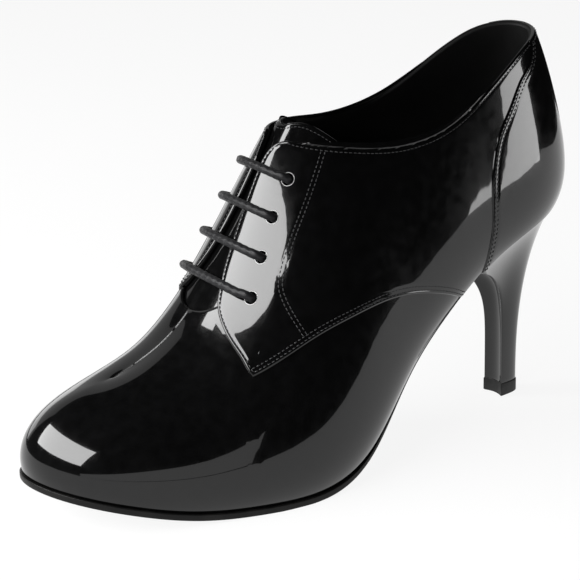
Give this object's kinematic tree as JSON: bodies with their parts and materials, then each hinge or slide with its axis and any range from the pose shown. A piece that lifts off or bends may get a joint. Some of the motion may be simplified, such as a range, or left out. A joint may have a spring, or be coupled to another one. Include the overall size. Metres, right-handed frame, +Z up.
{
  "type": "lace-up stiletto shoe",
  "caption": "Round-toed lace-up shoe in glossy patent leather, its collar cut below the ankle, on a tall slim heel with a small hard tip; stands empty on its sole.",
  "frame": {"origin": "middle of the heel tip's face, on the floor", "axes": "+X towards the toe, +Y towards the wearer's left, which is the outer side of this left shoe, +Z up"},
  "size_m": [0.2384, 0.0833, 0.1512],
  "materials": {
    "patent": "high-gloss black patent",
    "sole": "satin black with a painted edge",
    "sock": "matt black lining leather",
    "heel_cover": "high-gloss black patent over a moulded heel",
    "tip": "matt black",
    "lace": "round braided cord, lightly waxed"
  },
  "bodies": {
    "root": {"upper": "patent", "tongue": "patent", "outsole": "sole", "insole": "sock", "heel": "heel_cover", "heel_tip": "tip", "lace_bar_1": "lace", "lace_bar_2": "lace", "lace_bar_3": "lace", "lace_bar_4": "lace"}
  },
  "joints": []
}
